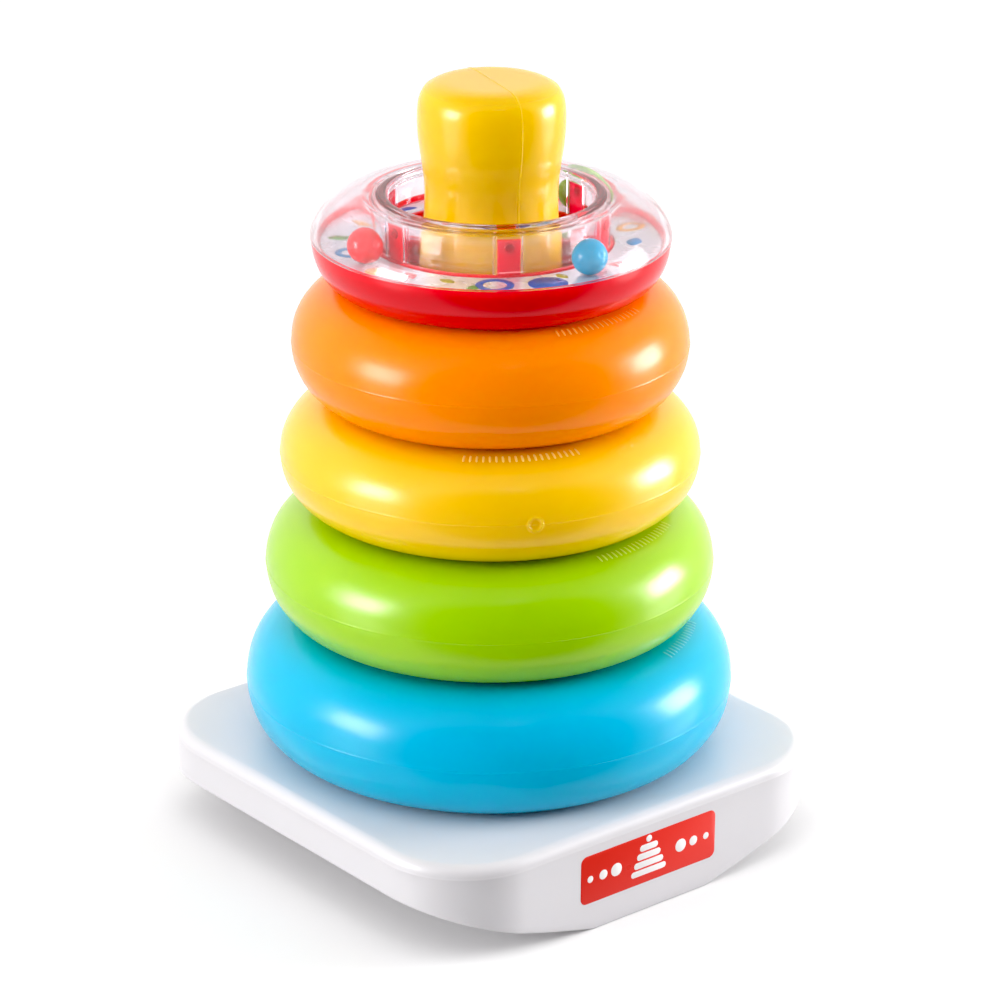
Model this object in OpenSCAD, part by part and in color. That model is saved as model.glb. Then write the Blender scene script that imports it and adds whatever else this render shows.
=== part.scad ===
// Stacking ring toy: a rocker base with a tapered post, four hollow rings of
// falling size and a clear-topped rattle ring with rolling beads.
// +Z is up, the origin is on the ground under the middle of the base, X runs
// along the rocker and the label is on the -Y face. Sizes are in millimetres.

/* [Base] */
// Length of the base along the rocker, X
base_w = 140; // [130:1:160]
// Depth of the base across the rocker, Y
base_d = 138; // [130:1:160]
// Height of the deck that the rings stand on
deck_z = 28.8; // [27:0.1:32]
// Plan radius of the base's four corners
base_corner_r = 26; // [22:1:30]
// Rounding along the edge of the deck
deck_edge_r = 3; // [2:0.5:4]
// Half-length of the flat under the middle of the rocker
rocker_flat = 20; // [16:1:24]
// Angle at which the rocker turns up beside the flat
rocker_kick = 13.2; // [10:0.2:14]
// Radius of the rocker's upturned ends
rocker_r = 360; // [320:10:500]
// Wall thickness of the base shell
base_wall = 2.4; // [2:0.1:3]
// Distance of each base screw from the middle, along X and along Y
screw_at = 47; // [44:0.5:48]

/* [Label] */
// Length and height of the label, X and Z
label_size = [48, 14.2]; // [10:0.1:60]
// Middle of the label, X and Z
label_at = [-1, 15.4]; // [-10:0.1:20]
// Thickness of the label, let in flush with the wall
label_t = 0.3; // [0.2:0.05:0.5]

/* [Post] */
// Radius of the knob at its widest
knob_r = 19.8; // [18:0.1:20]
// Height of the knob's widest point
knob_z = 205; // [203:0.5:207]
// Height of the top of the post
post_top = 216; // [214:0.5:220]
// Radius of the waist under the knob
waist_r = 17.9; // [16.5:0.1:18]
// Height of the waist
waist_z = 185; // [183:0.5:187]
// Growth of the post's radius per millimetre down its cone
cone_slope = 0.075; // [0.05:0.005:0.08]
// Wall thickness of the hollow post
post_wall = 2; // [1.6:0.1:2.4]

/* [Rings] */
// Outer radii of the blue, green, yellow and orange rings
ring_r = [67.5, 61.6, 57.2, 53.8]; // [50:0.1:70]
// Heights of the blue, green, yellow and orange rings
ring_h = [35.6, 33, 30.2, 32.7]; // [28:0.1:38]
// Hole radii of the blue, green, yellow and orange rings
ring_hole = [31, 28.4, 25.9, 23.6]; // [22:0.1:33]
// Distance from a ring's crown circle out to its rim
ring_bulge = 17.5; // [16:0.1:18]
// Width of the flat land that a ring rests on
ring_land = 3; // [2:0.5:4]
// Wall thickness of the hollow rings
ring_wall = 1.7; // [1.5:0.1:2]

/* [Rattle] */
// Outer radius of the rattle at its seam
rattle_r = 48.3; // [47.8:0.1:49]
// Height of the red bowl, from its lowest point to the seam
bowl_h = 13.2; // [12.5:0.1:14]
// Height of the clear dome above the seam
dome_h = 11.7; // [11.5:0.1:12.5]
// Wall thickness of the bowl and the dome
rattle_wall = 1.6; // [1.4:0.1:1.8]
// Inner radius of the clear tube around the post
tube_r = 28; // [27.8:0.1:28.4]
// Number of snap tabs around the tube
tab_count = 6; // [3:1:8]
// Width of each snap tab
tab_w = 6; // [4:0.5:7]
// Direction of the first tab, in degrees
tab_turn = -121; // [-180:1:180]

/* [Beads] */
// Radius of each bead
bead_r = 4.7; // [4.2:0.1:4.7]
// Radius of the circle that the beads roll on
track_r = 39; // [38.6:0.1:39.2]
// Directions of the red, blue and green beads, in degrees
bead_angles = [174, -89, 13]; // [-180:1:180]

/* [Hidden] */
$fn = 96;

over = 1;                    // how far a cutter runs past what it cuts
steps = 12;                  // points along a quarter of a rounded outline

// Base
deck_under = deck_z - base_wall;
plate_gap = 0.2;             // play between the bottom plate and the wall
plate_t = 2.4;               // thickness of the bottom plate
boss_r = 4.5;                // screw bosses under the deck
pilot_r = 1.5;               // pilot hole in a boss
screw_r = 1.45;              // screw shank
screw_hole_r = 1.7;          // clearance hole in the bottom plate
head_r = 2.8;                // screw head
head_h = 1.8;
head_well_r = 3.4;           // well that the head sits in
cup_r = 5.4;                 // cup around the well, inside the plate
cup_floor_z = 13;            // height at which the cup's floor meets the boss
cup_floor_t = 2;
screw_len = 10;              // length of the shank above the head
rib_t = 1.6;                 // ribs under the deck
rib_h = 7;
rib_corner = 0.62;           // reach of the ribs, as a part of the half-width
arc_x = rocker_flat - rocker_r * sin(rocker_kick);
arc_z = rocker_r * cos(rocker_kick);

// Post
flange_t = 3;                // flange under the deck that holds the post
flange_lip = 3.5;            // how far it reaches past the neck
neck_gap = 0.3;              // play around the neck in the deck's hole
cone_ease = 6;               // length over which the cone leaves the waist
cap_r = 9;                   // radius of the flat on top of the knob
cap_power = 3.2;
support_r = 20;              // tube on the bottom plate, under the post
support_t = 2.2;

// Rings
outer_power = 2.05;          // roundness of a ring's outer half
inner_power = 2.4;           // roundness of its half towards the post
ring_z = [
    deck_z,
    deck_z + ring_h[0],
    deck_z + ring_h[0] + ring_h[1],
    deck_z + ring_h[0] + ring_h[1] + ring_h[2]
];

// Rattle
bowl_z = ring_z[3] + ring_h[3];
seam_z = bowl_z + bowl_h;
dome_top = seam_z + dome_h;
lip_overhang = 0.3;          // the dome's rim stands this far past the bowl
bowl_crown_r = 37;           // circle that the bowl stands on
bowl_land = 3;
bowl_power = 2.1;
dome_crown_r = 35;           // circle where the dome becomes level
dome_power = 1.65;
tube_t = 2.4;                // wall of the clear tube
tube_foot_z = bowl_z + 5.7;  // ledge that the tube stands on
lip_r = 30.9;                // rolled lip on top of the tube
lip_in = 0.4;                // how far the lip reaches into the hole
lip_h = 2.4;
collar_gap = 0.3;            // play between the tube and the red collar
collar_t = 1.6;
disc_t = 0.5;                // printed disc
disc_z = seam_z - 2.1;       // underside of the printed disc
disc_gap = 0.4;
disc_ledge = 2;
collar_top = disc_z + disc_t + 0.4;
tab_t = 1.2;
tab_set = 0.15;              // the tab's inner face is set back from the collar's
tab_top = dome_top - 3.2;
tab_boss_r = 1.4;
tab_boss_h = 0.6;
tab_boss_drop = 2.2;         // the boss sits this far below the tab's top
guide_t = 0.8;               // clear ribs on both sides of a tab
guide_gap = 0.3;
bead_z = disc_z + disc_t + bead_r + 0.05;

// Points along part of a superellipse about c, with half-axes r = [out, up]
function lobe(c, r, power, from, to) = [
    for (i = [0 : steps])
        let (a = from + (to - from) * i / steps)
        [
            c[0] + r[0] * sign(cos(a)) * pow(abs(cos(a)), 2 / power),
            c[1] + r[1] * sign(sin(a)) * pow(abs(sin(a)), 2 / power)
        ]
];

// Radius of the post at height z, between the deck and the waist
function cone_radius(z) =
    waist_r + cone_slope * (norm([waist_z - z, cone_ease]) - cone_ease);

// Radius of the post between the waist and the knob's widest point
function neck_radius(z) =
    waist_r + (knob_r - waist_r) * (1 - cos(180 * (z - waist_z) / (knob_z - waist_z))) / 2;

// ---- Base ----

// Plan outline of the base, drawn in by inset
module base_plan(inset) {
    w = base_w / 2 - base_corner_r;
    d = base_d / 2 - base_corner_r;
    r = base_corner_r - inset;
    square([2 * w, 2 * (d + r)], center = true);
    square([2 * (w + r), 2 * d], center = true);
    for (x = [-w, w], y = [-d, d])
        translate([x, y]) circle(r);
}

// Upright section of the base's edge out to half, with its top edge rounded
function edge_profile(half, top, edge_r) = concat(
    [[half, -over]],
    lobe([half - edge_r, top - edge_r], [edge_r, edge_r], 2, 0, 90)
);

function mirrored(points) =
    [for (i = [len(points) - 1 : -1 : 0]) [-points[i][0], points[i][1]]];

// Block with the base's plan, a rounded top edge and its top at z = top
module base_block(inset, top, edge_r) {
    w = base_w / 2 - base_corner_r;
    d = base_d / 2 - base_corner_r;
    r = base_corner_r - inset;
    along_x = edge_profile(d + r, top, edge_r);
    along_y = edge_profile(w + r, top, edge_r);
    rotate([90, 0, 90])
        linear_extrude(2 * w, center = true) polygon(concat(along_x, mirrored(along_x)));
    rotate([90, 0, 0])
        linear_extrude(2 * d, center = true) polygon(concat(along_y, mirrored(along_y)));
    for (x = [-w, w], y = [-d, d])
        translate([x, y, 0])
            rotate_extrude()
                polygon(concat([[0, -over]], edge_profile(r, top, edge_r), [[0, top]]));
}

// Everything on or above the rocker's underside, raised by lift
module rocker_volume(lift) {
    side_w = base_w / 2 + over - rocker_flat;
    depth = base_d + 2 * over;
    translate([-rocker_flat, -depth / 2, lift])
        cube([2 * rocker_flat, depth, deck_z + over]);
    for (s = [0, 1])
        mirror([s, 0, 0])
            intersection() {
                translate([rocker_flat, -depth / 2, lift])
                    cube([side_w, depth, deck_z + over]);
                translate([arc_x, 0, arc_z + lift]) rotate([90, 0, 0])
                    cylinder(r = rocker_r, h = depth, center = true, $fn = 360);
            }
}

module screw_places() {
    for (x = [-screw_at, screw_at], y = [-screw_at, screw_at])
        translate([x, y, 0]) children();
}

module label_blank() {
    r = 2;                   // corner radius of the label
    w = label_size[0] / 2 - r;
    h = label_size[1] / 2 - r;
    translate([label_at[0], label_t - base_d / 2, label_at[1]])
        rotate([90, 0, 0])
            linear_extrude(label_t) {
                square([2 * (w + r), 2 * h], center = true);
                square([2 * w, 2 * (h + r)], center = true);
                for (x = [-w, w], y = [-h, h])
                    translate([x, y]) circle(r);
            }
}

module base_shell() {
    reach_w = base_w * rib_corner;
    reach_d = base_d * rib_corner;
    neck_r = cone_radius(deck_z) + neck_gap;
    rib_ring_r = neck_r + flange_lip + 3;
    color("white") {
        difference() {
            intersection() {
                base_block(0, deck_z, deck_edge_r);
                rocker_volume(0);
            }
            base_block(base_wall, deck_under, deck_edge_r - 1);
            translate([0, 0, deck_under - over])
                cylinder(r = neck_r, h = base_wall + 2 * over);
            label_blank();
        }
        screw_places()
            difference() {
                translate([0, 0, cup_floor_z])
                    cylinder(r = boss_r, h = deck_under - cup_floor_z);
                translate([0, 0, cup_floor_z - over])
                    cylinder(r = pilot_r, h = screw_len + over);
            }
        translate([0, 0, deck_under - rib_h]) {
            difference() {
                union() {
                    translate([-reach_w / 2, -rib_t / 2, 0])
                        cube([reach_w, rib_t, rib_h]);
                    translate([-rib_t / 2, -reach_d / 2, 0])
                        cube([rib_t, reach_d, rib_h]);
                }
                translate([0, 0, -over])
                    cylinder(r = rib_ring_r, h = rib_h + 2 * over);
            }
            difference() {
                cylinder(r = rib_ring_r + rib_t, h = rib_h);
                translate([0, 0, -over])
                    cylinder(r = rib_ring_r, h = rib_h + 2 * over);
            }
        }
    }
}

module base_bottom() {
    inset = base_wall + plate_gap;
    seat_z = deck_under - flange_t;
    color("whitesmoke")
        difference() {
            union() {
                difference() {
                    intersection() {
                        translate([0, 0, -over])
                            linear_extrude(deck_z) base_plan(inset);
                        rocker_volume(0);
                    }
                    rocker_volume(plate_t);
                }
                intersection() {
                    screw_places() cylinder(r = cup_r, h = cup_floor_z);
                    rocker_volume(0);
                }
                cylinder(r = support_r + support_t, h = seat_z);
            }
            translate([0, 0, plate_t])
                cylinder(r = support_r, h = seat_z);
            screw_places() {
                translate([0, 0, -over])
                    cylinder(r = head_well_r, h = cup_floor_z - cup_floor_t + over);
                translate([0, 0, cup_floor_z - cup_floor_t - over])
                    cylinder(r = screw_hole_r, h = cup_floor_t + 2 * over);
            }
        }
}

module base_screws() {
    slot_w = 0.9;            // cross slots in the heads
    slot_l = 3.4;
    slot_d = 1;
    head_z = cup_floor_z - cup_floor_t - head_h;
    color("silver")
        screw_places()
            difference() {
                union() {
                    translate([0, 0, head_z]) cylinder(r = head_r, h = head_h);
                    translate([0, 0, head_z + head_h])
                        cylinder(r = screw_r, h = screw_len);
                }
                translate([0, 0, head_z]) {
                    cube([slot_l, slot_w, 2 * slot_d], center = true);
                    cube([slot_w, slot_l, 2 * slot_d], center = true);
                }
            }
}

module label() {
    color("crimson") label_blank();
}

// ---- Post ----

// Outline of the post from its foot to its top, drawn in by inset
function post_outline(inset) =
    let (
        foot_z = deck_under - flange_t + inset,
        cone = [for (i = [0 : 2 * steps])
            let (z = deck_under + (waist_z - deck_under) * i / (2 * steps))
            [cone_radius(z) - inset, z]],
        neck = [for (i = [1 : steps - 1])
            let (z = waist_z + (knob_z - waist_z) * i / steps)
            [neck_radius(z) - inset, z]],
        cap = lobe([cap_r, knob_z], [knob_r - cap_r - inset, post_top - knob_z - inset],
            cap_power, 0, 90)
    )
    concat([[0, foot_z], [cone[0][0], foot_z]], cone, neck, cap, [[0, post_top - inset]]);

module post() {
    color("gold") {
        rotate_extrude()
            difference() {
                polygon(post_outline(0));
                polygon(post_outline(post_wall));
            }
        translate([0, 0, deck_under - flange_t])
            difference() {
                cylinder(r = cone_radius(deck_z) + flange_lip, h = flange_t);
                translate([0, 0, -over])
                    cylinder(r = cone_radius(deck_z) - post_wall / 2, h = flange_t + 2 * over);
            }
    }
}

// ---- Rings ----

// Section of ring k in its own half-plane, drawn in by inset
function ring_outline(k, inset) =
    let (
        crown = ring_r[k] - ring_bulge,
        mid = ring_z[k] + ring_h[k] / 2,
        half = ring_h[k] / 2 - inset,
        out = [ring_bulge - ring_land / 2 - inset, half],
        in = [crown - ring_land / 2 - ring_hole[k] - inset, half]
    )
    concat(
        lobe([crown + ring_land / 2, mid], out, outer_power, -90, 90),
        lobe([crown - ring_land / 2, mid], in, inner_power, 90, 270)
    );

module ring(k) {
    rotate_extrude()
        difference() {
            polygon(ring_outline(k, 0));
            polygon(ring_outline(k, ring_wall));
        }
}

module ring_blue() {
    color("deepskyblue") ring(0);
}

module ring_green() {
    color("yellowgreen") ring(1);
}

module ring_yellow() {
    color("gold") ring(2);
}

module ring_orange() {
    color("darkorange") ring(3);
}

// ---- Rattle ----

tube_out = tube_r + tube_t;
collar_r = tube_out + collar_gap;

// Half-section of the bowl as if it were solid, and of the space inside it
bowl_solid = concat(
    lobe([bowl_crown_r + bowl_land / 2, seam_z],
        [rattle_r - lip_overhang - bowl_crown_r - bowl_land / 2, bowl_h],
        bowl_power, 0, -90),
    lobe([bowl_crown_r - bowl_land / 2, tube_foot_z],
        [bowl_crown_r - bowl_land / 2 - tube_r, tube_foot_z - bowl_z],
        bowl_power, 270, 180),
    [
        [collar_r, tube_foot_z],
        [collar_r, collar_top],
        [collar_r + collar_t, collar_top],
        [collar_r + collar_t, seam_z]
    ]
);
bowl_space = concat(
    lobe([bowl_crown_r + bowl_land / 2, seam_z],
        [rattle_r - lip_overhang - rattle_wall - bowl_crown_r - bowl_land / 2,
            bowl_h - rattle_wall],
        bowl_power, 0, -90),
    [
        [collar_r + collar_t, bowl_z + rattle_wall + 2],
        [collar_r + collar_t, seam_z + over],
        [rattle_r - lip_overhang - rattle_wall, seam_z + over]
    ]
);

disc_out = rattle_r - lip_overhang - rattle_wall - 0.7;

// Half-section of the ledge under the rim of the printed disc
ledge_outline = [
    [disc_out - disc_ledge, disc_z],
    [disc_out + rattle_wall, disc_z],
    [disc_out + rattle_wall / 2, disc_z - 2 * disc_ledge],
    [disc_out - disc_ledge, disc_z - disc_ledge / 2]
];

module rattle_bowl() {
    color("red") {
        rotate_extrude() {
            difference() {
                polygon(bowl_solid);
                polygon(bowl_space);
            }
            polygon(ledge_outline);
        }
        for (i = [0 : tab_count - 1])
            rotate(tab_turn + 360 / tab_count * i) snap_tab();
    }
}

// Upright tab that grips the clear tube, with a round boss near its top
module snap_tab() {
    intersection() {
        difference() {
            translate([0, 0, collar_top - over])
                cylinder(r = collar_r + tab_t, h = tab_top - collar_top + over);
            cylinder(r = collar_r + tab_set, h = tab_top + over);
        }
        translate([0, -tab_w / 2, 0]) cube([rattle_r, tab_w, tab_top]);
    }
    translate([collar_r + tab_t / 2, 0, tab_top - tab_boss_drop]) rotate([0, 90, 0])
        cylinder(r = tab_boss_r, h = tab_t / 2 + tab_boss_h);
}

module rattle_print() {
    color("lavender")
        translate([0, 0, disc_z])
            difference() {
                cylinder(r = disc_out, h = disc_t);
                translate([0, 0, -over])
                    cylinder(r = collar_r + collar_t + disc_gap, h = disc_t + 2 * over);
            }
}

// Half-section of the clear dome, its tube and its rolled lip
dome_outline = concat(
    lobe([dome_crown_r, seam_z], [rattle_r - dome_crown_r, dome_h], dome_power, 0, 90),
    lobe([lip_r - lip_h / 2, dome_top - lip_h / 2], [lip_h / 2, lip_h / 2], 2, 60, 90),
    lobe([tube_r - lip_in + lip_h / 2, dome_top - lip_h / 2], [lip_h / 2, lip_h / 2], 2, 90, 180),
    [
        [tube_r, dome_top - lip_h],
        [tube_r, tube_foot_z],
        [tube_out, tube_foot_z],
        [tube_out, dome_top - rattle_wall - 1.2],
        [tube_out + 1.2, dome_top - rattle_wall]
    ],
    lobe([dome_crown_r, seam_z], [rattle_r - dome_crown_r - rattle_wall, dome_h - rattle_wall],
        dome_power, 90, 0)
);

module rattle_dome() {
    guide_at = tab_w / 2 + guide_gap;
    color([0.95, 0.9, 0.95, 0.35]) {
        rotate_extrude() polygon(dome_outline);
        for (i = [0 : tab_count - 1])
            rotate(tab_turn + 360 / tab_count * i)
                intersection() {
                    difference() {
                        translate([0, 0, collar_top + 0.3])
                            cylinder(r = collar_r + tab_t, h = dome_top - rattle_wall - collar_top);
                        cylinder(r = tube_out - 0.3, h = dome_top + over);
                    }
                    for (s = [0, 1])
                        mirror([0, s, 0])
                            translate([0, guide_at, 0]) cube([rattle_r, guide_t, dome_top]);
                }
    }
}

// ---- Beads ----

module bead(k) {
    rotate(bead_angles[k]) translate([track_r, 0, bead_z]) sphere(bead_r);
}

module bead_red() {
    color("red") bead(0);
}

module bead_blue() {
    color("dodgerblue") bead(1);
}

module bead_green() {
    color("limegreen") bead(2);
}

base_shell();
base_bottom();
base_screws();
label();
post();
ring_blue();
ring_green();
ring_yellow();
ring_orange();
rattle_bowl();
rattle_print();
rattle_dome();
bead_red();
bead_blue();
bead_green();
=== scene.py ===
import math

import bpy
import numpy as np
from mathutils import Matrix, Vector


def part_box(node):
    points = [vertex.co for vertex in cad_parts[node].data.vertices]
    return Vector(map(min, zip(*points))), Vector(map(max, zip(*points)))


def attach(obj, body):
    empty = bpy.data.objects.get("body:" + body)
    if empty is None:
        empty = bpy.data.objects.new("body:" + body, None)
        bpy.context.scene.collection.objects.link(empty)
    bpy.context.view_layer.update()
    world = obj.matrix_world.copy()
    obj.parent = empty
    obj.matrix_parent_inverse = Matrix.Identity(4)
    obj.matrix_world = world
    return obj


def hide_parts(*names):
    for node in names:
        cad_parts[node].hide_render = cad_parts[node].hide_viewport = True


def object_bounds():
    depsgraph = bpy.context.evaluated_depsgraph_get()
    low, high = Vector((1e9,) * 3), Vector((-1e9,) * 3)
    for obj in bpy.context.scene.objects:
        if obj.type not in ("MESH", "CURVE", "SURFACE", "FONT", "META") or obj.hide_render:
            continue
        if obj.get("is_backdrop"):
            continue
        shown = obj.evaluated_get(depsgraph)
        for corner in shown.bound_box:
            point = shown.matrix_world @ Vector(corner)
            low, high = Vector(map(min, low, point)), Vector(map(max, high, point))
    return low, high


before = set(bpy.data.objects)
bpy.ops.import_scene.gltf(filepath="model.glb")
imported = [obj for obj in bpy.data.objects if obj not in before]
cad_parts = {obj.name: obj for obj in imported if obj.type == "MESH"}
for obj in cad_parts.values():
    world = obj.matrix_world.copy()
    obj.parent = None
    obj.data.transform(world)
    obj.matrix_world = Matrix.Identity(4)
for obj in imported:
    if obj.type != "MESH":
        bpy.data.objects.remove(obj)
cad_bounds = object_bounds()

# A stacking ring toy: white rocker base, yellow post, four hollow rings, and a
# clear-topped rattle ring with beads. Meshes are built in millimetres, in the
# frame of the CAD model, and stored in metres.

MM = 0.001


def box_mm(node):
    """Lowest and highest corner of a CAD node, in millimetres."""
    return [np.array(corner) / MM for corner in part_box(node)]


# ---------------------------------------------------------------- materials

def new_material(name):
    """A node material, its nodes, its links and its shader."""
    material = bpy.data.materials.new(name)
    material.use_nodes = True
    nodes = material.node_tree.nodes
    return material, nodes, material.node_tree.links, nodes["Principled BSDF"]


def object_noise(nodes, links, scale, detail=2.0):
    """Noise texture that stays fixed to the object, with scale in waves per metre."""
    place = nodes.new("ShaderNodeTexCoord")
    noise = nodes.new("ShaderNodeTexNoise")
    noise.inputs["Scale"].default_value = scale
    noise.inputs["Detail"].default_value = detail
    links.new(place.outputs["Object"], noise.inputs["Vector"])
    return noise


def spread(nodes, links, source, low, high):
    """Maps the middle of a noise's range to low .. high."""
    ramp = nodes.new("ShaderNodeMapRange")
    ramp.inputs["From Min"].default_value = 0.3
    ramp.inputs["From Max"].default_value = 0.7
    ramp.inputs["To Min"].default_value = low
    ramp.inputs["To Max"].default_value = high
    links.new(source, ramp.inputs["Value"])
    return ramp.outputs["Result"]


# Sockets of a Mix node for each kind of data: first, second, result
MIX_SOCKETS = {"RGBA": (6, 7, 2), "FLOAT": (2, 3, 0)}


def feed(links, source, socket):
    """Links a node's output to a socket, or sets the socket to a plain value."""
    if isinstance(source, bpy.types.NodeSocket):
        links.new(source, socket)
    else:
        socket.default_value = source


def blend(nodes, links, kind, factor, first, second):
    """Mix of two numbers or colours, each a plain value or a node's output."""
    mix = nodes.new("ShaderNodeMix")
    mix.data_type = kind
    first_at, second_at, result_at = MIX_SOCKETS[kind]
    feed(links, factor, mix.inputs[0])
    feed(links, first, mix.inputs[first_at])
    feed(links, second, mix.inputs[second_at])
    return mix.outputs[result_at]


def uneven_gloss(nodes, links, shader, scale, low, high, detail=2.0):
    """Roughness that wanders between low and high."""
    patches = object_noise(nodes, links, scale, detail)
    links.new(spread(nodes, links, patches.outputs["Fac"], low, high),
              shader.inputs["Roughness"])


def relief(nodes, links, shader, scale, strength, depth, detail=2.0):
    """Fine bumps of a noise, with depth in metres."""
    height = object_noise(nodes, links, scale, detail)
    bump = nodes.new("ShaderNodeBump")
    bump.inputs["Strength"].default_value = strength
    bump.inputs["Distance"].default_value = depth
    links.new(height.outputs["Fac"], bump.inputs["Height"])
    links.new(bump.outputs["Normal"], shader.inputs["Normal"])


def shade(colour, factor):
    """The colour with its channels scaled, and full alpha."""
    return tuple(min(1.0, channel * factor) for channel in colour[:3]) + (1.0,)


def moulded_plastic(name, colour, roughness=0.23, glow=0.7, peel=0.012, deepen=0.95,
                    shine=0.5):
    """Moulded plastic: slight colour drift, uneven gloss and a fine orange-peel skin."""
    material, nodes, links, shader = new_material(name)
    drift = object_noise(nodes, links, 28.0)
    amount = spread(nodes, links, drift.outputs["Fac"], 0.0, 1.0)
    tint = blend(nodes, links, "RGBA", amount, shade(colour, deepen), shade(colour, 1.0))
    links.new(tint, shader.inputs["Base Color"])
    uneven_gloss(nodes, links, shader, 90.0, roughness * 0.9, roughness * 1.12)
    relief(nodes, links, shader, 900.0, peel, 0.0006, detail=3.0)
    shader.inputs["Subsurface Weight"].default_value = glow
    shader.inputs["Subsurface Radius"].default_value = (1.0, 0.9, 0.8)
    shader.inputs["Subsurface Scale"].default_value = 0.01
    shader.inputs["IOR"].default_value = 1.5
    shader.inputs["Specular IOR Level"].default_value = shine
    return material


def clear_plastic(name, face_tint, edge_tint):
    """Clear plastic with two real surfaces, deeper in tint where it is seen edge-on.
    Lamps shine through it."""
    material, nodes, links, shader = new_material(name)
    edge = nodes.new("ShaderNodeLayerWeight")
    edge.inputs["Blend"].default_value = 0.35
    tint = blend(nodes, links, "RGBA", edge.outputs["Facing"], face_tint, edge_tint)
    links.new(tint, shader.inputs["Base Color"])
    shader.inputs["Transmission Weight"].default_value = 1.0
    shader.inputs["IOR"].default_value = 1.57
    uneven_gloss(nodes, links, shader, 60.0, 0.03, 0.08)
    relief(nodes, links, shader, 45.0, 0.08, 0.002)
    path = nodes.new("ShaderNodeLightPath")
    open_air = nodes.new("ShaderNodeBsdfTransparent")
    open_air.inputs["Color"].default_value = face_tint
    mix = nodes.new("ShaderNodeMixShader")
    links.new(path.outputs["Is Shadow Ray"], mix.inputs[0])
    links.new(shader.outputs[0], mix.inputs[1])
    links.new(open_air.outputs[0], mix.inputs[2])
    links.new(mix.outputs[0], nodes["Material Output"].inputs["Surface"])
    return material


def foil(name, colour, roughness=0.22):
    """Silvery printed film."""
    material, nodes, links, shader = new_material(name)
    shader.inputs["Base Color"].default_value = colour
    shader.inputs["Metallic"].default_value = 0.55
    uneven_gloss(nodes, links, shader, 120.0, roughness * 0.7, roughness * 1.4, detail=4.0)
    relief(nodes, links, shader, 35.0, 0.12, 0.001)
    return material


def steel(name):
    """Plain steel with a fine grain."""
    material, nodes, links, shader = new_material(name)
    shader.inputs["Base Color"].default_value = (0.62, 0.62, 0.64, 1.0)
    shader.inputs["Metallic"].default_value = 1.0
    uneven_gloss(nodes, links, shader, 2500.0, 0.25, 0.4)
    return material


# Colours are linear red, green and blue
WHITE = moulded_plastic("white_plastic", (0.725, 0.705, 0.73), roughness=0.33, glow=0.15,
                        peel=0.004, deepen=0.985)
YELLOW_POST = moulded_plastic("post_yellow_plastic", (0.84, 0.53, 0.002), roughness=0.2,
                              shine=0.42)
BLUE = moulded_plastic("ring_blue_plastic", (0.0, 0.49, 0.76), shine=0.3)
GREEN = moulded_plastic("ring_green_plastic", (0.36, 0.65, 0.005))
YELLOW = moulded_plastic("ring_yellow_plastic", (0.92, 0.575, 0.01))
ORANGE = moulded_plastic("ring_orange_plastic", (1.0, 0.265, 0.0), shine=0.28)
RED = moulded_plastic("rattle_red_plastic", (0.86, 0.002, 0.01), roughness=0.16, shine=0.3)
CLEAR = clear_plastic("rattle_clear_plastic", (0.975, 0.955, 0.968, 1.0),
                      (0.86, 0.78, 0.85, 1.0))
PRINT = foil("print_silver", (0.74, 0.73, 0.77, 1.0), roughness=0.26)
BEAD_RED = moulded_plastic("bead_red_plastic", (0.8, 0.012, 0.015), roughness=0.15, glow=0.0)
BEAD_BLUE = moulded_plastic("bead_blue_plastic", (0.002, 0.36, 0.6), roughness=0.15, glow=0.0)
BEAD_GREEN = moulded_plastic("bead_green_plastic", (0.2, 0.42, 0.01), roughness=0.15,
                             glow=0.0)
LABEL_RED = moulded_plastic("label_red_film", (0.76, 0.024, 0.012), roughness=0.3, glow=0.0,
                            peel=0.004, shine=0.3)
LABEL_WHITE = moulded_plastic("label_white_ink", (0.9, 0.88, 0.88), roughness=0.35,
                              glow=0.0, peel=0.004, deepen=0.98)
STEEL = steel("screw_steel")


# ---------------------------------------------------------------- mesh tools

MIN_STEP = 0.05                    # angles nearer to each other than this become one
QUARTERS = ((1, 1), (-1, 1), (-1, -1), (1, -1))      # sides of X and Y, anticlockwise


def lobe(centre, half, power, start, stop, count):
    """Points along part of a superellipse, from angle start to stop in degrees."""
    angle = np.radians(np.linspace(start, stop, count + 1))
    across, up = np.cos(angle), np.sin(angle)
    return np.stack([
        centre[0] + half[0] * np.sign(across) * np.abs(across) ** (2 / power),
        centre[1] + half[1] * np.sign(up) * np.abs(up) ** (2 / power),
    ], axis=1)


def grid_faces(rows, columns, wrap_rows, wrap_columns):
    """Quads of a grid of points numbered row by row."""
    row = np.arange(rows if wrap_rows else rows - 1)
    column = np.arange(columns if wrap_columns else columns - 1)
    r, c = np.meshgrid(row, column, indexing="ij")
    r2, c2 = (r + 1) % rows, (c + 1) % columns
    quads = np.stack([r * columns + c, r2 * columns + c, r2 * columns + c2, r * columns + c2], -1)
    return quads.reshape(-1, 4).tolist()


def capped_faces(rows, columns):
    """Faces of stacked loops that run anticlockwise, closed by a flat cap at each end."""
    faces = [face[::-1] for face in grid_faces(rows, columns, False, True)]
    first = list(range(columns))
    return faces + [first[::-1], [(rows - 1) * columns + i for i in first]]


def build(name, points, faces, material, crease=None):
    """Mesh object from points in millimetres. crease is the angle that stays sharp."""
    mesh = bpy.data.meshes.new(name)
    mesh.from_pydata((np.asarray(points) * MM).tolist(), [], faces)
    mesh.materials.append(material)
    mesh.polygons.foreach_set("use_smooth", [True] * len(mesh.polygons))
    if crease:
        mesh.set_sharp_from_angle(angle=math.radians(crease))
    mesh.update()
    piece = bpy.data.objects.new(name, mesh)
    bpy.context.collection.objects.link(piece)
    return piece


def stand_for(piece, body, node):
    """The piece rides on a body and, where node is given, replaces that CAD node."""
    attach(piece, body)
    if node:
        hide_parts(node)
    return piece


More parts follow.
